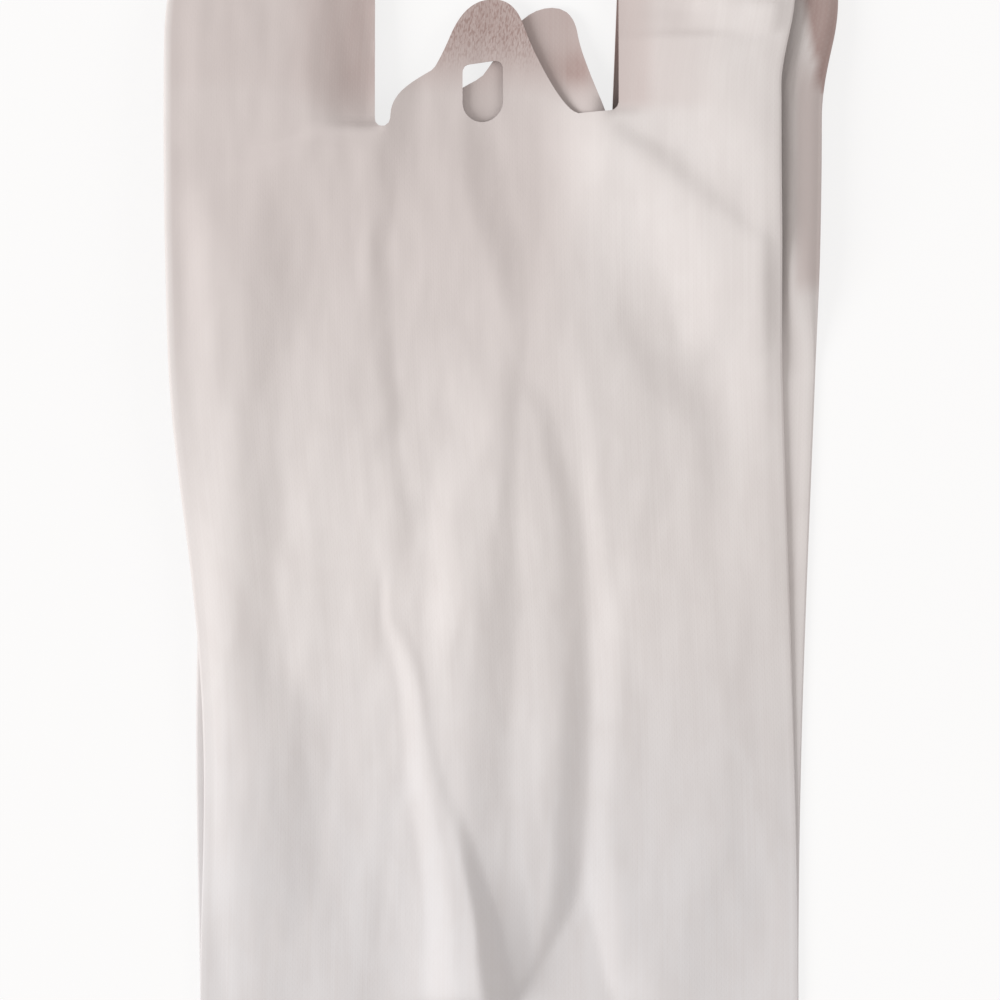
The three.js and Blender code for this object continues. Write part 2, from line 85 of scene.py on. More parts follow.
# Soft folds of the front panel. Each is a band of slope that runs down the panel: across in shares of
# half the width, up in shares of the body height, half its width in mm, and the slope in degrees,
# which is positive where the fabric rises to the right.
FOLDS = {
    "left edge": (
        (-1.0, 0.93, 6.0, 5), (-0.975, 0.86, 9.0, 16), (-0.955, 0.77, 9.5, 16),
        (-0.946, 0.714, 8.9, 13), (-0.93, 0.605, 8.5, 10), (-0.925, 0.475, 8.0, 11),
        (-0.915, 0.344, 8.0, 10), (-0.9, 0.203, 7.6, 12), (-0.878, 0.094, 5.7, 11),
        (-0.865, -0.004, 5.7, 9),
    ),
    "left fall": (
        (-0.701, 0.943, 15.9, 0), (-0.714, 0.878, 15.9, -8), (-0.718, 0.801, 15.9, -12),
        (-0.76, 0.725, 13.0, -10), (-0.773, 0.66, 13.0, -10), (-0.76, 0.573, 13.0, -17),
        (-0.78, 0.497, 13.0, -17), (-0.77, 0.409, 15.0, -17), (-0.7, 0.344, 22.0, -13),
        (-0.68, 0.268, 24.0, -13), (-0.68, 0.203, 25.0, -12), (-0.67, 0.126, 25.0, -10),
        (-0.67, 0.083, 22.0, -7), (-0.7, 0.034, 15.0, -8), (-0.74, -0.004, 12.0, -8),
    ),
    "left rise": (
        (-0.538, 0.867, 15.9, 0), (-0.538, 0.812, 15.9, 3), (-0.571, 0.747, 15.9, 3),
        (-0.597, 0.671, 15.9, 0), (-0.603, 0.584, 15.9, 2), (-0.6, 0.518, 17.8, 1),
        (-0.57, 0.442, 14.0, -1), (-0.505, 0.377, 13.0, -1), (-0.45, 0.301, 14.0, 0),
        (-0.39, 0.224, 20.0, -3), (-0.37, 0.148, 22.0, -6), (-0.37, 0.094, 24.0, -7),
        (-0.37, 0.039, 24.0, -7), (-0.37, -0.004, 24.0, -5),
    ),
    "left crease": (
        (-0.335, 1.019, 7.6, 0), (-0.349, 0.992, 7.6, -5), (-0.368, 0.932, 8.3, -12),
        (-0.375, 0.856, 7.0, -14), (-0.381, 0.78, 6.4, -14), (-0.355, 0.725, 7.0, -12),
        (-0.332, 0.682, 5.7, -16), (-0.349, 0.644, 7.6, -10), (-0.316, 0.605, 6.4, -5),
        (-0.277, 0.573, 6.4, -13), (-0.3, 0.524, 6.4, -6), (-0.309, 0.475, 5.1, 0),
    ),
    "tab fall": (
        (-0.068, 1.139, 7.6, 0), (-0.068, 1.063, 7.6, -4), (-0.061, 0.997, 9.0, -7),
        (-0.045, 0.954, 13.0, -11), (-0.01, 0.905, 13.0, -14), (0.03, 0.861, 11.0, -17),
        (0.055, 0.812, 9.0, -14), (0.076, 0.769, 7.0, -7), (0.057, 0.72, 7.0, -10),
        (0.05, 0.66, 5.1, -14), (0.047, 0.584, 6.4, -13), (0.017, 0.518, 11.5, -10),
        (0.004, 0.453, 12.7, -15), (-0.015, 0.366, 12.7, -13), (-0.02, 0.301, 14.0, -14),
        (-0.025, 0.246, 15.0, -15), (-0.015, 0.192, 15.0, -16), (0.01, 0.143, 15.0, -15),
        (0.04, 0.094, 15.0, -14), (0.075, 0.039, 16.0, -13), (0.095, -0.004, 14.0, -8),
    ),
    "upper lobes": (
        (-0.153, 0.78, 5.1, 0), (-0.146, 0.752, 8.9, 6), (-0.126, 0.709, 14.0, 9),
        (-0.081, 0.66, 12.7, 12), (-0.139, 0.611, 11.5, 12), (-0.179, 0.556, 8.9, 18),
        (-0.166, 0.507, 10.2, 20), (-0.175, 0.453, 10.2, 20), (-0.188, 0.407, 7.0, 12),
        (-0.159, 0.344, 7.6, 5), (-0.139, 0.279, 6.4, 0),
    ),
    "main ridge": (
        (-0.362, 0.515, 2.0, 0), (-0.358, 0.489, 2.3, 17), (-0.352, 0.453, 3.0, 24),
        (-0.319, 0.42, 5.0, 23), (-0.283, 0.377, 5.5, 26), (-0.27, 0.333, 6.0, 27),
        (-0.257, 0.29, 6.5, 27), (-0.238, 0.246, 7.0, 26), (-0.211, 0.203, 7.5, 25),
        (-0.192, 0.159, 8.0, 25), (-0.182, 0.115, 8.5, 25), (-0.185, 0.072, 9.0, 23),
        (-0.176, 0.039, 10.0, 20), (-0.162, -0.004, 10.0, 14),
    ),
    "ridge root": (
        (-0.376, 0.52, 2.2, 0), (-0.382, 0.49, 2.4, -11), (-0.386, 0.455, 2.6, -15),
        (-0.384, 0.42, 2.6, -11), (-0.372, 0.385, 2.2, 0),
    ),
    "thin crease": (
        (-0.303, 0.458, 2.5, 0), (-0.277, 0.431, 2.5, -9), (-0.247, 0.404, 2.5, -12),
        (-0.221, 0.366, 3.2, -6), (-0.179, 0.29, 3.2, -3), (-0.156, 0.257, 3.2, 0),
    ),
    "main fall": (
        (-0.244, 0.399, 2.0, 0), (-0.231, 0.366, 2.5, -8), (-0.211, 0.322, 3.0, -9),
        (-0.179, 0.279, 4.0, -10), (-0.136, 0.246, 4.5, -13), (-0.097, 0.213, 5.0, -24),
        (-0.074, 0.181, 5.5, -34), (-0.048, 0.148, 6.0, -42), (-0.025, 0.115, 7.0, -45),
        (-0.012, 0.083, 8.5, -46), (0.012, 0.039, 10.0, -44), (0.042, -0.004, 11.0, -34),
    ),
    "middle rise": (
        (0.06, 0.676, 5.1, 0), (0.089, 0.616, 6.4, 4), (0.115, 0.54, 8.9, 6),
        (0.122, 0.453, 10.2, 6), (0.122, 0.366, 10.2, 7), (0.122, 0.279, 10.2, 6),
        (0.118, 0.235, 9.0, 3), (0.112, 0.192, 9.0, 1), (0.112, 0.143, 10.0, -4),
        (0.12, 0.094, 12.0, -8), (0.13, 0.039, 14.0, -9), (0.12, -0.004, 14.0, -6),
    ),
    "right fall": (
        (0.089, 0.725, 7.6, 0), (0.122, 0.703, 7.6, -6), (0.164, 0.676, 6.4, -12),
        (0.19, 0.638, 7.6, -16), (0.22, 0.595, 7.6, -15), (0.246, 0.54, 8.9, -15),
        (0.255, 0.475, 9.0, -14), (0.262, 0.409, 9.0, -14), (0.262, 0.344, 9.0, -15),
        (0.25, 0.257, 9.5, -20), (0.245, 0.192, 10.0, -24), (0.228, 0.126, 11.0, -28),
        (0.19, 0.072, 13.0, -29), (0.13, 0.039, 16.0, -26), (0.1, -0.004, 16.0, -20),
    ),
    "right rise": (
        (0.213, 0.785, 6.4, 0), (0.233, 0.752, 7.6, 4), (0.266, 0.703, 8.9, 8),
        (0.292, 0.66, 7.6, 10), (0.311, 0.605, 5.7, 16), (0.328, 0.551, 5.7, 17),
        (0.341, 0.497, 7.6, 16), (0.36, 0.431, 9.6, 18), (0.36, 0.344, 8.9, 17),
        (0.344, 0.257, 7.6, 16), (0.337, 0.203, 8.9, 18), (0.337, 0.148, 11.5, 22),
        (0.337, 0.094, 12.7, 24), (0.335, 0.039, 14.0, 25), (0.335, -0.004, 14.0, 20),
    ),
    "centre facet": (
        (0.239, 1.052, 12.7, 0), (0.246, 1.014, 14.0, 8), (0.266, 0.981, 15.3, 13),
        (0.285, 0.943, 15.9, 12), (0.266, 0.894, 12.7, 6), (0.253, 0.85, 6.4, 0),
    ),
    "right facet": (
        (0.475, 0.97, 15.9, 0), (0.524, 0.927, 15.9, 9), (0.579, 0.878, 19.1, 14),
        (0.638, 0.823, 17.8, 20), (0.658, 0.771, 11.5, 19), (0.658, 0.73, 5.1, 0),
    ),
    "facet fall": (
        (0.311, 0.85, 7.6, 0), (0.357, 0.812, 10.2, -3), (0.409, 0.78, 14.0, -4),
        (0.468, 0.747, 15.3, -6), (0.566, 0.712, 19.1, -6), (0.671, 0.671, 14.0, -6),
        (0.72, 0.616, 10.2, -5), (0.743, 0.551, 8.9, 0),
    ),
    "shoulder fall": (
        (0.331, 1.028, 3.8, 0), (0.364, 1.006, 5.1, -5), (0.416, 0.989, 7.6, -9),
        (0.481, 0.973, 11.5, -12), (0.579, 0.947, 11.5, -12), (0.694, 0.915, 8.9, -10),
        (0.805, 0.885, 6.4, -9), (0.899, 0.861, 5.1, -6), (0.948, 0.849, 3.8, 0),
    ),
    "right strap": (
        (0.638, 1.106, 22.3, 4), (0.645, 1.041, 22.3, 6), (0.687, 0.997, 22.3, 6),
        (0.795, 0.943, 17.8, 5), (0.867, 0.889, 8.9, 4), (0.906, 0.845, 6.4, 0),
    ),
    "strap tuck": (
        (0.8, 1.08, 22.0, 0), (0.8, 1.09, 22.0, 0), (0.8, 1.096, 22.0, 9), (0.8, 1.11, 22.0, 11),
        (0.8, 1.122, 22.0, 11), (0.8, 1.135, 22.0, 0), (0.8, 1.15, 22.0, 0),
    ),
    "left shoulder": (
        (-0.531, 1.019, 5.1, 0), (-0.577, 0.995, 5.1, 3), (-0.62, 0.979, 6.4, 8),
        (-0.701, 0.965, 12.7, 10), (-0.799, 0.951, 14.0, 6), (-0.897, 0.932, 12.7, 4),
        (-0.979, 0.905, 9.6, 3), (-1.028, 0.867, 7.6, 0),
    ),
    "dark arc": (
        (0.566, 0.622, 7.6, 0), (0.54, 0.589, 8.9, -4), (0.507, 0.56, 7.6, -6),
        (0.481, 0.529, 7.6, -4), (0.458, 0.497, 7.6, 0),
    ),
    "light patch": (
        (0.426, 0.551, 6.4, 0), (0.429, 0.507, 7.6, 4), (0.409, 0.462, 8.9, 5),
        (0.393, 0.42, 8.9, 0),
    ),
    "right face": (
        (0.8, 0.9, 12.0, 0), (0.8, 0.84, 16.0, 9), (0.8, 0.74, 18.0, 12), (0.8, 0.64, 16.0, 7),
        (0.8, 0.52, 12.0, 5), (0.8, 0.4, 12.0, 0),
    ),
    "right swell": (
        (0.5, 0.62, 30.0, 0), (0.52, 0.5, 32.0, 4), (0.55, 0.35, 34.0, 6), (0.55, 0.2, 34.0, 6),
        (0.55, 0.08, 30.0, 0),
    ),
    "low patch": (
        (-0.669, 0.159, 12.7, 0), (-0.662, 0.115, 14.0, 5), (-0.649, 0.072, 11.5, 5),
        (-0.636, 0.028, 10.2, 4), (-0.636, -0.004, 8.9, 3),
    ),
}


def clamp01(t):
    return np.clip(t, 0.0, 1.0)


def ramp(start, end, t):
    t = clamp01((t - start) / (end - start))
    return t * t * (3 - 2 * t)


def mix(a, b, t):
    return a + (b - a) * t


def swell(t):
    """Hump that starts and ends at nothing."""
    return np.sin(np.pi * clamp01(t)) ** 2


def smooth_line(points, count=72):
    """Points of a curve that runs through the given ones."""
    p = np.array(points, float)
    p = np.vstack([2 * p[0] - p[1], p, 2 * p[-1] - p[-2]])
    out = []
    for t in np.linspace(0, len(points) - 1, count):
        i = min(int(t), len(points) - 2)
        t = t - i
        a, b, c, d = p[i : i + 4]
        square, cube = 2 * a - 5 * b + 4 * c - d, 3 * b - a - 3 * c + d
        out.append(0.5 * (2 * b + (c - a) * t + square * t**2 + cube * t**3))
    return np.array(out)


def curve(*ctrl, count=14):
    """Points of a curve with the given control points, without the first."""
    out = []
    for t in np.linspace(0, 1, count + 1)[1:]:
        q = np.array(ctrl, float)
        while len(q) > 1:
            q = q[:-1] * (1 - t) + q[1:] * t
        out.append(q[0])
    return out


def length(label, about, value):
    return FloatProperty(name=label, description=about, default=value * MM, unit="LENGTH", precision=5)


def colour(label, about, value):
    return FloatVectorProperty(name=label, description=about, subtype="COLOR", size=3, default=value)


class BagSizes(PropertyGroup):
    width: length("Width", "Flat width between the side folds", 300)
    body: length("Body height", "Bottom edge to the mouth", 450)
    handle: length("Handle length", "Mouth to the handle tops", 150)
    gusset: length("Gusset depth", "Depth of each side fold", 70)
    fabric: length("Fabric", "Thickness of the fabric", 0.4)
    mouth: length("Mouth width", "Gap between the straps", 120)
    tab_height: length("Tab height", "Hang tab above the mouth line", 60)
    tab_base: length("Tab base", "Width of the tab at its foot", 96)
    tab_top: length("Tab top", "Width of the tab at its shoulder", 36)
    hole_width: length("Hole width", "Hang hole across", 20)
    hole_height: length("Hole height", "Hang hole up the tab", 30)
    hole_rise: length("Hole rise", "Hole centre above the mouth line", 14)
    weld: length("Weld width", "Welded band at the bottom and handle tops", 6)
    puff: length("Puff", "How far the front panel stands up along the lower middle", 11)
    sag: length("Sag", "Height that the front panel sags to at the mouth", 12)
    left_lift: length("Left lift", "Rise of the left front fold", 20)
    right_lift: length("Right lift", "Rise of the right front fold", 24)


class BagFinish(PropertyGroup):
    fabric: colour("Fabric", "Colour of the spunbond web", (0.69, 0.679, 0.688))
    warm: colour("Upper fabric", "Colour of the web above the bottom end", (0.73, 0.698, 0.688))
    # Painted shade: dark warm colour laid where the tabs, straps, gusset and upper front panel lie in shade
    worn: colour("Handled fabric", "Colour of the tabs, straps and gusset where handled", (0.40, 0.29, 0.27))
    bond: colour("Bond marks", "Colour of the pressed bond marks", (0.60, 0.555, 0.54))
    stroke: colour("Pressed strokes", "Colour of the pressed strokes on the tab", (0.30, 0.195, 0.175))
    floor: colour("Floor", "Colour of the studio floor", (0.86, 0.84, 0.83))


class Cut(NamedTuple):
    """How the die's cut lies on one panel."""

    shift: float  # tab off the panel's middle
    lean: float  # of the tab's top
    drop: float  # of the mouth line
    slide: float  # of the notches
    square: float  # how far out the tab's right foot stays low
    corner: float  # of the right notch
    strap_lean: float  # of the right strap's inner edge


class BagForm:
    """Where the fabric of the bag lies."""

    front_slip = -10 * MM  # front panel, sideways at the mouth
    back_slip = 11 * MM  # back panel, the other way
    left_roll = -2 * MM  # left front fold, out at the mouth
    waist_in = 9 * MM  # left front fold, in at the waist
    foot_in = 4.5 * MM  # left folds, in at the bottom
    flare = 11 * MM  # right back fold, out along the handle
    strap_spread = 6 * MM  # right front fold, out along the handle
    mouth_tilt = 8 * MM  # rise of the mouth line across the mouth
    corner = 5 * MM  # of the left notch
    fold_bulge = 2.2 * MM  # height that an open gusset's turns gain
    fold_reach = 80 * MM  # to each side, where a fold has died away
    gather_lift = 5 * MM  # of the front panel near the bottom
    rest_ease = 0.8 * MM  # rounding where the front panel comes to rest
    left_drop, right_drop = 7 * MM, 4 * MM  # inner margins of the straps
    tuck_level, tuck_rise = 56 * MM, 2.2 * MM  # tuck across the right strap
    tab_drop, tab_gap = 6 * MM, 3 * MM  # front tab down, back tab under it
    back_stand = 15 * MM  # right back fold, up near the mouth
    back_crown, crown_run = 0.17, 3 * MM  # of the layer beside the right front fold
    back_span = 34 * MM, 56 * MM  # from the back tab's middle, where the back panel comes to rest

    front_cut = Cut(-7 * MM, 5 * MM, 0, 1 * MM, 0.84, 5 * MM, 0)
    back_cut = Cut(12 * MM, 15 * MM, 5 * MM, -2 * MM, 1, 2 * MM, 0.045)

    def __init__(self, sizes):
        for key in BagSizes.__annotations__:
            setattr(self, key, getattr(sizes, key))
        self.top = self.body + self.handle
        self.half = self.width / 2
        self.floor_layer = self.fabric / 2
        self.folds = []
        for nodes in FOLDS.values():
            line = smooth_line(nodes)
            line = line[np.argsort(line[:, 1])]
            reach = np.maximum(line[:, 2], 1.5) * MM
            slope = np.tan(np.radians(line[:, 3]))
            self.folds.append((line[:, 1] * self.body, line[:, 0] * self.half, reach, slope))

    def welded(self, y):
        """One inside a weld, nothing well away from it."""
        low = ramp(3 * self.weld, self.weld, y)
        high = ramp(self.top - 3 * self.weld, self.top - self.weld, y)
        return np.maximum(low, high)

    def pitch(self, y):
        """Height from one resting layer to the next."""
        return self.fabric * (2 - 0.95 * self.welded(y))

    def fall(self, y):
        """One up to the mouth, nothing at the handle tops' welds."""
        return 1 - ramp(self.body, self.top - self.weld, y)

    def opened(self, y):
        """How far the bag has opened, from nothing at the bottom weld to one at the mouth."""
        t = clamp01((y - self.weld) / (self.body - self.weld))
        return (1 - (1 - t) ** 3) * self.fall(y)

    def right_opened(self, y):
        """How far the right front fold has opened; most of it comes near the mouth."""
        low = 0.12 * ramp(0.12 * self.body, 0.6 * self.body, y)
        return (low + 0.88 * ramp(0.7 * self.body, 0.9 * self.body, y)) * self.fall(y)

    def edges(self, y):
        """Left and right folds of the front panel, then of the back panel."""
        slip = ramp(0, self.body, y) * (1 - ramp(self.body + self.handle / 4, self.top - self.weld, y))
        left = self.foot_in * (1 - ramp(0, 0.45 * self.body, y)) - self.half
        waist = self.waist_in * swell(y / (0.75 * self.body))
        up = (y - self.body) / self.handle
        flare = self.flare * swell(up)
        spread = self.strap_spread * ramp(0.1, 0.38, up) * (1 - ramp(0.5, 0.94, up))
        front, back = self.front_slip * slip, self.back_slip * slip**1.35
        return (
            left + front + waist + self.left_roll * slip,
            self.half + front + spread,
            left + back,
            self.half + back + flare,
        )

    def centre(self):
        """Middle of the outline across the bag."""
        folds = self.edges(np.linspace(0, self.top, 400))
        return (min(folds[0].min(), folds[2].min()) + max(folds[1].max(), folds[3].max())) / 2

    def fold_rise(self, x, y):
        """Height that the folds add to the front panel; each dies away to both sides."""
        total = 0 * (x + y)
        for up, across, reach, slope in self.folds:
            wide = np.interp(y, up, reach)
            off = x - np.interp(y, up, across)
            step = ramp(-1, 1, off / wide) - 0.5
            near = (1 - clamp01(np.abs(off) / self.fold_reach) ** 2) ** 2
            total = total + np.interp(y, up, slope) * wide * 4 / 3 * step * near
        return total

    def on_strap(self, away):
        """One on a strap, nothing between the two; away is from the bag's middle."""
        side = self.mouth / 2
        strap = self.half - side
        return ramp(side - 0.07 * strap, side - 0.01 * strap, away)

    def strap_shape(self, x, y):
        """Height by which the straps' inner margins dip, the right strap is tucked and the tab bends."""
        side = self.mouth / 2
        strap = self.half - side
        up = y - self.body
        left = ramp(side + 0.36 * strap, side, -x) * ramp(-0.1 * self.tab_height, 0, up)
        right = ramp(side + 0.25 * strap, side, x) * ramp(0, 0.12 * self.tab_height, up)
        off = (up - self.tuck_level) / MM
        tuck = clamp01(1 - np.maximum(off / 20, -off / 15))
        tuck = tuck * ramp(side + 0.4 * strap, side + 0.5 * strap, x)
        bend = ramp(-self.tab_height, self.tab_height, up)
        bend = bend * (1 - ramp(0.6 * side, 0.98 * side, np.abs(x)))
        drop = self.left_drop * left * self.on_strap(-x) + self.right_drop * right * self.on_strap(x)
        return (self.tuck_rise * tuck - drop - self.tab_drop * bend) * self.fall(y)

    def front_height(self, s, x, y):
        """Height of the front panel, share s of the way from its left fold to its right."""
        inner = np.minimum(s, 1 - s) * self.width
        over = 1 - ramp(self.gusset, self.gusset + 24 * MM, inner)
        ends = 1 - ramp(self.weld, 8 * self.weld, np.minimum(y, self.top - y))
        thin = 2 * self.pitch(y) * (1 - over) * ends
        rest = self.floor_layer + 3 * self.pitch(y) - thin
        slack = ramp(0.45 * self.body, 0.8 * self.body, y)
        left = self.left_lift * self.opened(y) * mix(0.5, 1, slack)
        right = self.right_lift * self.right_opened(y)
        crown = 1 - np.abs(2 * s - 1) ** np.where(s < 0.5, 2.4, 1.4)
        gather = ramp(self.weld, 28 * MM, y) * (1 - ramp(0.3 * self.body, 0.55 * self.body, y))
        low = mix(left, right, s) + self.puff * self.opened(y) * crown
        low = low + self.gather_lift * gather * swell((s - 0.3) / 0.6)
        middle = self.sag * self.opened(y)
        to_middle, to_right = mix(left, middle, ramp(0.05, 0.6, s)), mix(middle, right, ramp(0.6, 1, s))
        high = np.where(s < 0.6, to_middle, to_right)
        inset = ramp(0, 0.03, s) * ramp(0, 0.03, 1 - s) * ramp(self.weld, 3 * self.weld, y)
        flat = ramp(self.body + self.handle / 3, self.top - self.weld, y)
        folds = self.fold_rise(x, y) * inset * (1 - flat)
        rise = mix(low, high, slack) + folds + self.strap_shape(x, y)
        loose = ramp(self.weld, 4 * self.weld, y) * ramp(self.top - self.weld, self.top - 4 * self.weld, y)
        return rest + (rise + np.sqrt(rise**2 + (self.rest_ease * loose) ** 2)) / 2


def turn(x, z_upper, z_lower, outward, steps=4):
    """Half circle between two stacked layers, from the upper to the lower."""
    r = (z_upper - z_lower) / 2
    angles = np.linspace(0, np.pi, steps + 1)
    return [(x + outward * r * np.sin(a), (z_upper + z_lower) / 2 + r * np.cos(a)) for a in angles]


def between(p, q, count):
    """Points evenly set between two, without the ends."""
    shares = [i / (count + 1) for i in range(1, count + 1)]
    return [(mix(p[0], q[0], share), mix(p[1], q[1], share)) for share in shares]


def gusset_layers(form, y, out, x_front, x_back, z_front, lift):
    """Layers of a side fold from the front panel to the back one, whose fold stands up by lift."""
    bulge = form.fold_bulge * form.opened(y)
    inner_turn = form.pitch(y) + 0.8 * bulge
    back_turn = form.pitch(y) + 0.6 * bulge
    z_rear = form.floor_layer + back_turn
    front_turn = np.minimum(form.pitch(y) + bulge, z_front - z_rear - form.pitch(y))
    x_inner = (x_front + x_back) / 2 - out * form.gusset
    front = turn(x_front - out * front_turn / 2, z_front, z_front - front_turn, out)
    inner = turn(x_inner + out * inner_turn / 2, z_rear + inner_turn, z_rear, -out)
    back = turn(x_back - out * (back_turn + lift) / 2, z_rear + lift, form.floor_layer + 0 * y, out)
    rear = []
    for share in REAR_SHARES:
        x, z = (mix(p, q, share) for p, q in zip(inner[-1], back[0]))
        clear = ramp(0, form.crown_run, out * (x - x_front)) * (1 - ramp(0.9, 1, share))
        rear.append((x, z + form.back_crown * lift * clear))
    return [*front, *between(front[-1], inner[0], 4), *inner, *rear, *back]


def tab_point(form, cut, x, h):
    """Place at height h above a panel's mouth line; the tab leans as it rises."""
    lean = cut.lean * min(max(h / form.tab_height, 0), 1)
    return np.array([x + lean, form.body - cut.drop + form.mouth_tilt * x / form.mouth + h])


def mouth_outline(form, cut):
    """Closed outline that the die takes away above the mouth line."""
    half, top, tall = form.tab_base / 2, form.tab_top / 2, form.tab_height

    def on(x, h):
        return tab_point(form, cut, cut.shift + x, h * tall)

    edge = cut.slide - form.mouth / 2
    low = tab_point(form, cut, edge, 0)[1]
    foot = on(-0.92 * half, 0)
    path = [np.array([edge, form.top + DIE_PAST]), np.array([edge, low + form.corner])]
    path += curve(path[-1], (edge, low), ((edge + foot[0]) / 2, low), count=6)
    path += curve(path[-1], (foot[0], low), foot + (0, form.corner), count=6)
    path += curve(path[-1], on(-0.94 * half, 0.27), on(-0.73 * half, 0.36), on(-0.53 * half, 0.445))
    path += curve(path[-1], on(-0.455 * half, 0.55), on(-top, 0.74))
    path += curve(path[-1], on(-0.8 * top, 0.9), on(-0.5 * top, 1), on(0, 1))
    path += curve(path[-1], on(0.5 * top, 1), on(0.8 * top, 0.9), on(top, 0.74))
    edge = cut.slide + form.mouth / 2
    low = tab_point(form, cut, edge, 0)[1]
    floor = tab_point(form, cut, edge - cut.corner, 0)
    foot = tab_point(form, cut, min(cut.shift + half, edge - cut.corner), 0)
    path += curve(path[-1], on(0.52 * half, 0.48), on(cut.square * (foot[0] - cut.shift), 0.04), foot)
    if foot[0] < floor[0]:
        path.append(floor)
    path += curve(path[-1], (edge, low), (edge, low + cut.corner), count=8)
    return np.array([*path, (edge + cut.strap_lean * form.handle, form.top + DIE_PAST)])


def hole_outline(form, cut):
    """Hang hole on a tab's leaning middle: a round foot under a nearly flat top."""
    r, tall = form.hole_width / 2, form.hole_height
    low = form.hole_rise - tall / 2
    easy = 0.45 * r
    upright = cut._replace(lean=0)
    axis = cut.shift + cut.lean * form.hole_rise / form.tab_height

    def on(x, h):
        return tab_point(form, upright, axis + x, low + h)

    path = [on(r * np.cos(a), r + r * np.sin(a)) for a in np.linspace(-np.pi, 0, 25)]
    path += curve(on(r, tall - easy), on(r, tall), on(r - easy, tall), count=6)
    path += curve(on(easy - r, tall - 0.1 * r), on(-r, tall - 0.1 * r), on(-r, tall - easy), count=6)
    return np.array(path)


def outline_gap(outline, x, y):
    """Distance inside a closed outline, negative outside it, and the nearest point of the outline."""
    best = np.full(x.shape, np.inf)
    near = np.zeros((2, *x.shape))
    inside = np.zeros(x.shape, bool)
    for a, b in zip(outline, np.roll(outline, -1, axis=0)):
        d = b - a
        t = clamp01(((x - a[0]) * d[0] + (y - a[1]) * d[1]) / max(d @ d, 1e-18))
        px, py = a[0] + t * d[0], a[1] + t * d[1]
        gap = np.hypot(x - px, y - py)
        near = np.where(gap < best, [px, py], near)
        best = np.minimum(best, gap)
        if a[1] != b[1]:
            crosses = (a[1] > y) != (b[1] > y)
            inside ^= crosses & (x < a[0] + (y - a[1]) / (b[1] - a[1]) * d[0])
    return np.where(inside, best, -best), near


def drawn_to_cut(form, cut, x, y):
    """Points of a panel, drawn on to the die's outlines where near, and how far each is inside the fabric."""
    gap, near = outline_gap(mouth_outline(form, cut), x, y)
    hole_gap, hole_near = outline_gap(hole_outline(form, cut), x, y)
    near = np.where(hole_gap > gap, hole_near, near)
    gap = np.maximum(gap, hole_gap)
    close = np.abs(gap) < DRAW_ON
    return np.where(close, near[0], x), np.where(close, near[1], y), np.where(close, 0, -gap)


def levels(form):
    """Heights of the grid's rows."""
    below, above = form.body - ROWS_BELOW_MOUTH, form.body + ROWS_ABOVE_MOUTH
    fine = np.arange(below, above, MOUTH_ROW_STEP)
    low = np.linspace(form.weld, below, BODY_ROWS)[:-1]
    high = np.linspace(fine[-1], form.top - form.weld, HANDLE_ROWS)[1:]
    return np.concatenate([[0, form.weld / 2], low, fine, high, [form.top - form.weld / 2, form.top]])


def front_shares():
    """Shares across the front panel, closer together where its folds gather."""
    even = np.linspace(0, 1, 400)
    close = np.cumsum(1 + FRONT_CLOSER * np.exp(-(((even - FRONT_CLOSE_AT) / FRONT_CLOSE_REACH) ** 2)))
    close = (close - close[0]) / (close[-1] - close[0])
    return np.interp(np.arange(1, FRONT_COLUMNS) / FRONT_COLUMNS, close, even)


def unevenness(form, x, y):
    """Small soft wrinkles that run up the bag, the finer ones stronger on its left."""
    out = np.zeros(x.shape)
    for at in np.ndindex(x.shape):
        broad, *finer = (
            height * noise.noise(Vector((x[at] / across, y[at] / up, place)))
            for height, across, up, place in WRINKLES
        )
        out[at] = broad + sum(finer) * (1.7 - 0.7 * ramp(-60 * MM, 0, x[at]))
    return out * (1 - form.welded(y)) * ramp(form.weld, 8 * form.weld, y)


def handled_tones(form, xs, ys, front_at, back_at):
    """How far painted shade darkens each point, and how far the front tab is pressed there."""
    # Painted shade: the back strap's flange out past the right handle, and the gusset strip beside the right
    # front fold in the upper body, where that fold casts its shadow
    along = (ys - form.body - 10 * MM) / form.handle
    flange = ramp(-2.5 * MM, 4.5 * MM, xs - form.half - 9.4 * MM + 24 * MM * along) * ramp(0, 0.03, along)
    side = ramp(form.half - 5 * MM, form.half + 1 * MM, xs) * ramp(0.8 * form.body, 0.83 * form.body, ys)
    handled = np.maximum(1.35 * flange, 0.45 * side * (1 - ramp(0.02, 0.2, along)))

    # Painted shade on the back tab and the back strap's inner margin, which lie under the front tab and strap;
    # blot darkens a patch on the back tab
    x, up = xs[:, back_at], ys[:, back_at] - form.body
    back_tab = 0.42 * ramp(-25 * MM, 0, up) + 0.4 * ramp(8 * MM, 35 * MM, up)
    blot = np.exp(-(((x - 40 * MM) / (10 * MM)) ** 2) - ((up - 24 * MM) / (9 * MM)) ** 2)
    margin = ramp(0.9 * form.mouth / 2, form.mouth / 2, x) * ramp(0, 10 * MM, up)
    handled[:, back_at] = np.minimum(back_tab, 0.8) + 0.5 * blot + 0.4 * margin

    # Painted shade on the front tab, darker towards its top, on the left strap, on the upper left of the front
    # panel and on the right strap's inner margin
    x, up = xs[:, front_at], ys[:, front_at] - form.body
    off_straps = 1 - form.on_strap(np.abs(x))
    tab = ramp(-12 * MM, 52 * MM, up) * off_straps
    left_strap = mix(0.36, 0.75, ramp(-110 * MM, -65 * MM, x)) * ramp(-25 * MM, 25 * MM, up) * form.on_strap(-x)
    upper_left = 0.3 * ramp(-0.5 * form.body, -0.02 * form.body, up)
    upper_left = upper_left * (1 - ramp(0.1 * form.half, 0.4 * form.half, x))
    right_strap = 0.3 * (1 - ramp(70 * MM, 82 * MM, x)) + 0.22 * (1 - ramp(85 * MM, 120 * MM, x))
    right_strap = right_strap * ramp(0, 10 * MM, up) * form.on_strap(x)
    handled[:, front_at] = np.maximum.reduce([tab, left_strap, upper_left, right_strap])
    pressed = np.zeros(xs.shape)
    pressed[:, front_at] = ramp(20 * MM, 44 * MM, up) * off_straps
    return handled, pressed


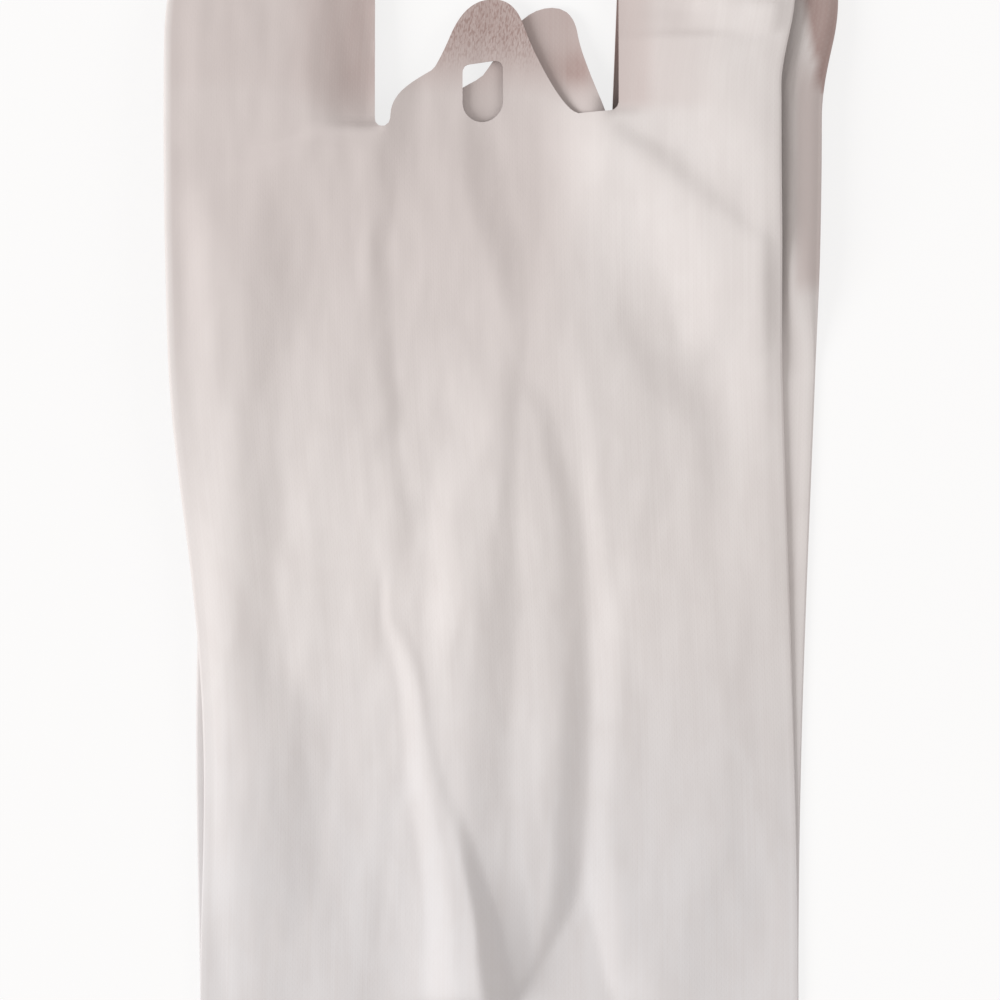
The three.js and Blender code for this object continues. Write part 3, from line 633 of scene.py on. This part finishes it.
def fabric_surface(form):
    """Grid of the fabric's middle surface round the bag, its place in the flat cut, and what is kept."""
    y = levels(form)
    front_left, front_right, back_left, back_right = form.edges(y)
    one = np.ones_like(y)
    stand = form.back_stand * ramp(0.72 * form.body, 0.86 * form.body, y) * form.fall(y)
    left_height, right_height = form.front_height(0 * one, front_left, y), form.front_height(one, front_right, y)
    left = gusset_layers(form, y, -1, front_left, back_left, left_height, 0 * y)[::-1]
    right = gusset_layers(form, y, 1, front_right, back_right, right_height, stand)
    start, span = left[-1][0], right[0][0] - left[-1][0]
    share = front_shares()
    mouth = (form.mouth / 2 + 6 * MM) * one
    right_foot, left_foot = (mouth, right[-1][1]), (-mouth, left[0][1])
    back = [
        *between(right[-1], right_foot, BACK_STRAP_COLUMNS),
        *between(right_foot, left_foot, BACK_MIDDLE_COLUMNS),
        *between(left_foot, left[0], BACK_STRAP_COLUMNS),
    ]
    loop = [*left, *((start + span * s, 0 * one) for s in share), *right, *back]
    xs, zs = (np.stack([p[k] * one for p in loop], axis=1) for k in (0, 1))
    ys = np.repeat(y[:, None], xs.shape[1], axis=1)
    columns = np.arange(xs.shape[1])
    front_at = columns[len(left) : len(left) + len(share)]
    back_at = columns[len(left) + len(share) + len(right) :]
    keep = np.full(xs.shape, UNCUT)
    for at, cut in ((front_at, form.front_cut), (back_at, form.back_cut)):
        xs[:, at], ys[:, at], keep[:, at] = drawn_to_cut(form, cut, xs[:, at], ys[:, at])

    x, up = xs[:, front_at], ys[:, front_at]
    s = (x - start[:, None]) / span[:, None]
    soft = unevenness(form, x, up) * ramp(0, 0.06, s) * ramp(0, 0.06, 1 - s)
    zs[:, front_at] = form.front_height(s, x, up) + soft
    x, up = xs[:, back_at], ys[:, back_at]
    s = (x - start[:, None]) / span[:, None]
    under = form.front_height(s, x, up) - form.tab_gap
    lift = ramp(form.body - 1.8 * form.tab_height, form.body - 0.1 * form.tab_height, up) * form.fall(up)
    lift = lift * (1 - ramp(*form.back_span, np.abs(x - form.back_cut.shift)))
    soft = np.abs(unevenness(form, x + 1, up))
    soft = soft * (1 - ramp(form.half - form.gusset - 12 * MM, form.half, np.abs(x)))
    zs[:, back_at] += np.maximum(under - zs[:, back_at], 0) * lift + soft

    step = np.hypot(np.diff(xs, axis=1), np.diff(zs, axis=1)).mean(axis=0)
    flat_u = np.repeat(np.concatenate([[0], np.cumsum(step)])[None], len(y), axis=0)
    flat = np.stack([flat_u, ys, *handled_tones(form, xs, ys, front_at, back_at)], axis=2)
    return np.stack([xs, ys, zs], axis=2), flat, keep


def clipped_mesh(name, points, flat, keep):
    """Mesh of a grid that closes on itself, cut along the line where keep is zero."""
    rows, cols = keep.shape
    verts, faces, made = [], [], {}

    def vertex(key, place, at):
        if key not in made:
            made[key] = len(verts)
            verts.append((*place, *at))
        return made[key]

    def corner(c):
        return vertex(c, points[c], flat[c])

    def crossing(a, b):
        a, b = min(a, b), max(a, b)
        t = keep[a] / (keep[a] - keep[b])
        return vertex((a, b), mix(points[a], points[b], t), mix(flat[a], flat[b], t))

    for j in range(rows - 1):
        for i in range(cols):
            n = (i + 1) % cols
            ring = [(j, i), (j, n), (j + 1, n), (j + 1, i)]
            if max(keep[c] for c in ring) <= 0:
                continue
            face = []
            for k in range(4):
                a, b = ring[k], ring[(k + 1) % 4]
                if keep[a] >= 0:
                    face.append(corner(a))
                if keep[a] * keep[b] < 0:
                    face.append(crossing(a, b))
            if len(face) > 2:
                faces.append(face)
    data = np.array(verts)
    mesh = bpy.data.meshes.new(name)
    mesh.from_pydata(data[:, :3].tolist(), [], faces)
    place = mesh.attributes.new("flat_cut", "FLOAT_VECTOR", "POINT")
    place.data.foreach_set("vector", (data[:, 3:6] * (1, 1, 0)).ravel())
    # Each point carries its painted-shade mask and how far the tab is pressed
    for label, column in (("handled", 5), ("pressed", 6)):
        mesh.attributes.new(label, "FLOAT", "POINT").data.foreach_set("value", data[:, column].copy())
    bm = bmesh.new()
    bm.from_mesh(mesh)
    bmesh.ops.remove_doubles(bm, verts=bm.verts, dist=JOIN)
    bmesh.ops.dissolve_degenerate(bm, edges=bm.edges, dist=JOIN)
    for edge in bm.edges:
        edge.smooth = not edge.is_boundary
    bm.to_mesh(mesh)
    bm.free()
    mesh.polygons.foreach_set("use_smooth", [True] * len(mesh.polygons))
    return mesh


def add_piece(name, mesh):
    old = bpy.data.objects.get(name)
    if old:
        bpy.data.objects.remove(old)
    piece = bpy.data.objects.new(name, mesh)
    bpy.context.collection.objects.link(piece)
    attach(piece, "root")
    return piece


class Wiring:
    """Adds nodes to a tree and joins them."""

    def __init__(self, tree):
        self.tree = tree

    def put(self, socket, value):
        if isinstance(value, bpy.types.NodeSocket):
            self.tree.links.new(value, socket)
        elif value is not None:
            socket.default_value = value

    def add(self, kind, settings=(), **inputs):
        node = self.tree.nodes.new(kind)
        for key, value in dict(settings).items():
            setattr(node, key, value)
        for key, value in inputs.items():
            self.put(node.inputs[key.replace("_", " ")], value)
        return node

    def effect(self, name, **inputs):
        """Outputs of a node group that is placed here."""
        return self.add("ShaderNodeGroup", {"node_tree": bpy.data.node_groups[name]}, **inputs).outputs

    def attribute(self, name, output="Fac"):
        return self.add("ShaderNodeAttribute", {"attribute_name": name}).outputs[output]

    def math(self, operation, a, b=None):
        node = self.tree.nodes.new("ShaderNodeMath")
        node.operation = operation
        self.put(node.inputs[0], a)
        self.put(node.inputs[1], b)
        return node.outputs[0]

    def times(self, a, b):
        return self.math("MULTIPLY", a, b)

    def between(self, value, low, high, to_low=0.0, to_high=1.0):
        """Smooth step of a value from low to high."""
        node = self.add("ShaderNodeMapRange", {"interpolation_type": "SMOOTHSTEP"}, Value=value)
        for key, number in zip(("From Min", "From Max", "To Min", "To Max"), (low, high, to_low, to_high)):
            node.inputs[key].default_value = number
        return node.outputs[0]

    def blend(self, factor, a, b):
        """Colour part of the way from a to b."""
        node = self.tree.nodes.new("ShaderNodeMix")
        node.data_type = "RGBA"
        self.put(node.inputs["Factor"], factor)
        self.put(node.inputs[6], a)
        self.put(node.inputs[7], b)
        return node.outputs[2]


def new_effect(name, inputs, outputs):
    """New shader node group with the given sockets."""
    old = bpy.data.node_groups.get(name)
    if old:
        bpy.data.node_groups.remove(old)
    tree = bpy.data.node_groups.new(name, "ShaderNodeTree")
    for label, kind, value in inputs:
        socket = tree.interface.new_socket(label, in_out="INPUT", socket_type=kind)
        if value is not None:
            socket.default_value = value
    for label in outputs:
        tree.interface.new_socket(label, in_out="OUTPUT", socket_type="NodeSocketFloat")
    return Wiring(tree), tree.nodes.new("NodeGroupInput").outputs, tree.nodes.new("NodeGroupOutput").inputs


def bond_marks():
    """Staggered rows of pressed oval marks over a flat place."""
    sockets = (
        ("Place", "NodeSocketVector", None),
        ("Across", "NodeSocketFloat", 1.25 * MM),
        ("Along", "NodeSocketFloat", 3 * MM),
    )
    w, given, out = new_effect("bond marks", sockets, ("Mask",))
    place = w.add("ShaderNodeSeparateXYZ", Vector=given["Place"]).outputs
    column = w.math("DIVIDE", place["X"], given["Across"])
    stagger = w.times(w.math("PINGPONG", w.math("FLOOR", column), 1.0), 0.5)
    row = w.math("ADD", w.math("DIVIDE", place["Y"], given["Along"]), stagger)
    far = []
    for share, reach in ((column, 0.24), (row, 0.3)):
        off = w.math("SUBTRACT", w.math("FRACT", share), 0.5)
        far.append(w.math("POWER", w.math("ABSOLUTE", w.math("DIVIDE", off, reach)), 2.0))
    w.put(out["Mask"], w.between(w.math("ADD", *far), 1.25, 0.55))


def fibre_web():
    """Uneven laying of the fibres: soft clouds, streaks along the web, single fibres and short strokes."""
    sockets = (("Place", "NodeSocketVector", None),)
    w, given, out = new_effect("fibre web", sockets, ("Cloud", "Streak", "Fibre", "Stroke"))
    for label, scale, detail, bend in (
        ("Cloud", (70, 32, 1), 4, 0.4),
        ("Streak", (620, 9, 1), 3, 0.1),
        ("Fibre", (1500, 700, 1), 3, 2.5),
        ("Stroke", (1300, 360, 1), 1, 0.5),
    ):
        sized = w.add("ShaderNodeVectorMath", {"operation": "MULTIPLY"})
        w.put(sized.inputs[0], given["Place"])
        sized.inputs[1].default_value = scale
        web = w.add("ShaderNodeTexNoise", Vector=sized.outputs[0], Scale=1.0, Detail=detail, Distortion=bend)
        w.put(out[label], web.outputs["Fac"])


def spunbond(finish, form):
    """Matt web of bonded fibres."""
    material = bpy.data.materials.get("spunbond") or bpy.data.materials.new("spunbond")
    material.use_nodes = True
    w = Wiring(material.node_tree)
    w.tree.nodes.clear()
    flat = w.attribute("flat_cut", "Vector")
    handled, tab = w.attribute("handled"), w.attribute("pressed")
    up = w.add("ShaderNodeSeparateXYZ", Vector=flat).outputs["Y"]
    web = w.effect("fibre web", Place=flat)
    marks = w.effect("bond marks", Place=flat)["Mask"]
    weld_marks = w.effect("bond marks", Place=flat, Across=2.4 * MM, Along=2 * MM)["Mask"]
    outer, inner = 0.9 * form.weld, 1.1 * form.weld
    bottom, handles = w.between(up, inner, outer), w.between(up, form.top - inner, form.top - outer)
    on_weld = w.times(weld_marks, w.math("MAXIMUM", bottom, handles))
    pressed = w.math("MAXIMUM", w.times(marks, w.between(tab, 0.0, 1.0, 0.22, 0.6)), on_weld)
    uneven = w.math("ADD", w.times(web["Cloud"], 0.6), w.times(web["Streak"], 0.4))

    fabric, warm, worn, bond, stroke = (
        (*getattr(finish, key), 1) for key in ("fabric", "warm", "worn", "bond", "stroke")
    )
    tone = w.blend(w.between(up, 0.1 * form.body, 0.55 * form.body), fabric, warm)
    # Painted shade: the shade colour is laid in where the painted-shade mask is high
    tone = w.blend(w.math("MINIMUM", w.times(handled, 0.88), 1.0), tone, worn)
    tone = w.blend(w.between(uneven, 0.36, 0.66, 0.0, 0.22), tone, bond)
    tone = w.blend(w.times(pressed, 0.35), tone, bond)
    tone = w.blend(w.times(w.between(web["Stroke"], 0.48, 0.62), w.times(tab, 0.6)), tone, stroke)
    rough = w.math("SUBTRACT", w.between(web["Fibre"], 0.3, 0.7, 0.78, 0.9), w.times(pressed, 0.25))
    relief = w.math("ADD", w.times(web["Fibre"], 0.35), w.times(uneven, 0.5))
    relief = w.math("SUBTRACT", relief, w.times(pressed, 0.6))
    bump = w.add("ShaderNodeBump", Strength=0.36, Distance=0.25 * MM, Height=relief).outputs["Normal"]
    shader = w.add("ShaderNodeBsdfPrincipled", Base_Color=tone, Roughness=rough, Normal=bump)
    shader.inputs["Sheen Weight"].default_value = 0.12
    shader.inputs["Specular IOR Level"].default_value = 0.3
    w.add("ShaderNodeOutputMaterial", Surface=shader.outputs[0])
    return material


class BAG_OT_fold_fabric(Operator):
    """Fold and cut the sheet that forms the whole bag"""

    bl_idname = "bag.fold_fabric"
    bl_label = "Fold the fabric"

    def execute(self, context):
        form = BagForm(context.scene.bag_sizes)
        points, flat, keep = fabric_surface(form)
        points -= np.array([form.centre(), form.top / 2, 0])
        mesh = clipped_mesh("bag_fabric", points, flat, keep)
        bag = add_piece("bag_fabric", mesh)
        bond_marks()
        fibre_web()
        mesh.materials.append(spunbond(context.scene.bag_finish, form))
        skin = bag.modifiers.new("Fabric thickness", "SOLIDIFY")
        skin.thickness = form.fabric
        skin.offset = 0
        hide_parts("bag")
        return {"FINISHED"}


class BAG_OT_set_stage(Operator):
    """Lay the floor, hang the soft lights and set the camera above the bag"""

    bl_idname = "bag.set_stage"
    bl_label = "Set the studio"

    def floor(self, context):
        mesh = bpy.data.meshes.new("floor")
        r = FLOOR_HALF
        mesh.from_pydata([(-r, -r, 0), (r, -r, 0), (r, r, 0), (-r, r, 0)], [], [(0, 1, 2, 3)])
        floor = bpy.data.objects.new("floor", mesh)
        context.collection.objects.link(floor)
        floor.location.z = -FLOOR_BELOW
        material = bpy.data.materials.new("studio_floor")
        material.use_nodes = True
        w = Wiring(material.node_tree)
        w.tree.nodes.clear()
        colour_of_floor = (*context.scene.bag_finish.floor, 1)
        lit = w.add("ShaderNodeBsdfPrincipled", Base_Color=colour_of_floor, Roughness=0.9)
        lit.inputs["Specular IOR Level"].default_value = 0.0
        white = w.add("ShaderNodeEmission", Strength=1.0)
        seen = w.times(w.add("ShaderNodeLightPath").outputs["Is Camera Ray"], FLOOR_WHITE)
        both = w.add("ShaderNodeMixShader", Fac=seen)
        w.put(both.inputs[1], lit.outputs[0])
        w.put(both.inputs[2], white.outputs[0])
        w.add("ShaderNodeOutputMaterial", Surface=both.outputs[0])
        mesh.materials.append(material)

    def lights(self, context):
        world = bpy.data.worlds.new("studio")
        world.use_nodes = True
        w = Wiring(world.node_tree)
        sky = w.tree.nodes["Background"].inputs
        seen = w.add("ShaderNodeLightPath").outputs["Is Camera Ray"]
        w.put(sky["Color"], w.blend(seen, SKY, WHITE))
        w.put(sky["Strength"], w.math("ADD", SKY_STRENGTH, w.times(seen, 1 - SKY_STRENGTH)))
        context.scene.world = world
        for name, size, power, place in LIGHTS:
            lamp = bpy.data.lights.new(name, "AREA")
            lamp.shape, lamp.size, lamp.energy = "SQUARE", size, power
            light = bpy.data.objects.new(name, lamp)
            light.location = place
            aim = Vector(LIGHTS_AIM) - light.location
            light.rotation_euler = aim.to_track_quat("-Z", "Y").to_euler()
            context.collection.objects.link(light)

    def execute(self, context):
        context.scene.view_settings.view_transform = "Standard"
        self.floor(context)
        self.lights(context)
        form = BagForm(context.scene.bag_sizes)
        eye = bpy.data.cameras.new("camera")
        eye.sensor_width = SENSOR
        eye.lens = SENSOR * LENS_DISTANCE / VIEW_SPAN
        camera = bpy.data.objects.new("camera", eye)
        camera.location = (VIEW_RIGHT - form.centre(), VIEW_UP, VIEW_HEIGHT)
        context.collection.objects.link(camera)
        context.scene.camera = camera
        return {"FINISHED"}


class BAG_PT_builder(Panel):
    """Lists the steps of the bag"""

    bl_idname = "BAG_PT_builder"
    bl_label = "Carrier bag"
    bl_space_type = "VIEW_3D"
    bl_region_type = "UI"
    bl_category = "Bag"

    def draw(self, context):
        for group in (context.scene.bag_sizes, context.scene.bag_finish):
            for key in group.__annotations__:
                self.layout.prop(group, key)
        for step in STEPS:
            self.layout.operator(step.bl_idname)


STEPS = (BAG_OT_fold_fabric, BAG_OT_set_stage)
CLASSES = (BagSizes, BagFinish, *STEPS, BAG_PT_builder)


def register():
    for item in CLASSES:
        bpy.utils.register_class(item)
    bpy.types.Scene.bag_sizes = PointerProperty(type=BagSizes)
    bpy.types.Scene.bag_finish = PointerProperty(type=BagFinish)


def unregister():
    del bpy.types.Scene.bag_finish
    del bpy.types.Scene.bag_sizes
    for item in reversed(CLASSES):
        bpy.utils.unregister_class(item)


def main():
    register()
    bpy.ops.bag.fold_fabric()
    bpy.ops.bag.set_stage()


if __name__ == "__main__":
    main()
